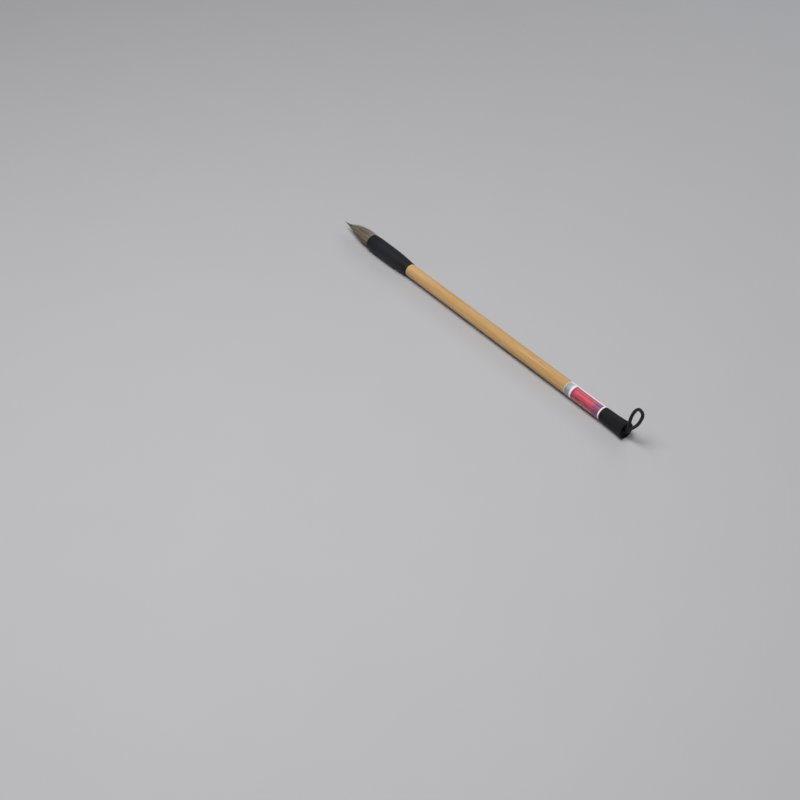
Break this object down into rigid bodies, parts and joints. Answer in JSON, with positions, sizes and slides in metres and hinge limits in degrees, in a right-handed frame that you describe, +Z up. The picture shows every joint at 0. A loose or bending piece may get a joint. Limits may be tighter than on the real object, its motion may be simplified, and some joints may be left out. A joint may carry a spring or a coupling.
{
  "type": "calligraphy brush",
  "caption": "Slim brush with a pointed layered hair tuft, swelled dark ferrule, bamboo shaft, foil label and fluted tail cap with a hanging loop.",
  "frame": {"origin": "on the surface that the brush lies on, under the middle of its length from the point of the tuft to the lip of the tail cap", "axes": "+X along the brush from the tuft's point towards the tail cap, +Z up, the hanging loop standing in the XZ plane"},
  "size_m": [0.2725, 0.0104, 0.0263],
  "materials": {
    "core_bristle": "natural hair, soft sheen",
    "cover_bristle": "natural hair, soft sheen",
    "binding_thread": "waxed thread",
    "root_resin": "clear amber resin",
    "dark_ferrule": "satin",
    "bamboo": "satin varnish",
    "foil_label": "printed metallic foil",
    "black_cap": "satin",
    "black_cord": "braided cord"
  },
  "bodies": {
    "handle": {"ferrule": "dark_ferrule", "bamboo_shaft": "bamboo", "tail_cap": "black_cap", "foil_label": "foil_label", "hair_root": "cover_bristle", "binding_thread": "binding_thread", "root_resin": "root_resin", "knotted_tails": "black_cord"},
    "tuft": {"core_hair": "core_bristle", "belly_hair": "core_bristle", "cover_hair": "cover_bristle"},
    "loop": {"cord_loop": "black_cord"}
  },
  "joints": [
    {"name": "tuft_bend", "type": "hinge", "parent": "handle", "child": "tuft", "pos_m": [-0.1015, 0, 0.00525], "axis": [0, 1, 0], "range_deg": [-25, 25], "stiffness_Nm_per_rad": 0.02, "deforming": ["belly_hair", "cover_hair"]},
    {"name": "loop_swing", "type": "hinge", "parent": "handle", "child": "loop", "pos_m": [0.13135, 0, 0.00565], "axis": [0, 1, 0], "range_deg": [0, 70], "stiffness_Nm_per_rad": 0.0015, "deforming": ["cord_loop"]}
  ]
}
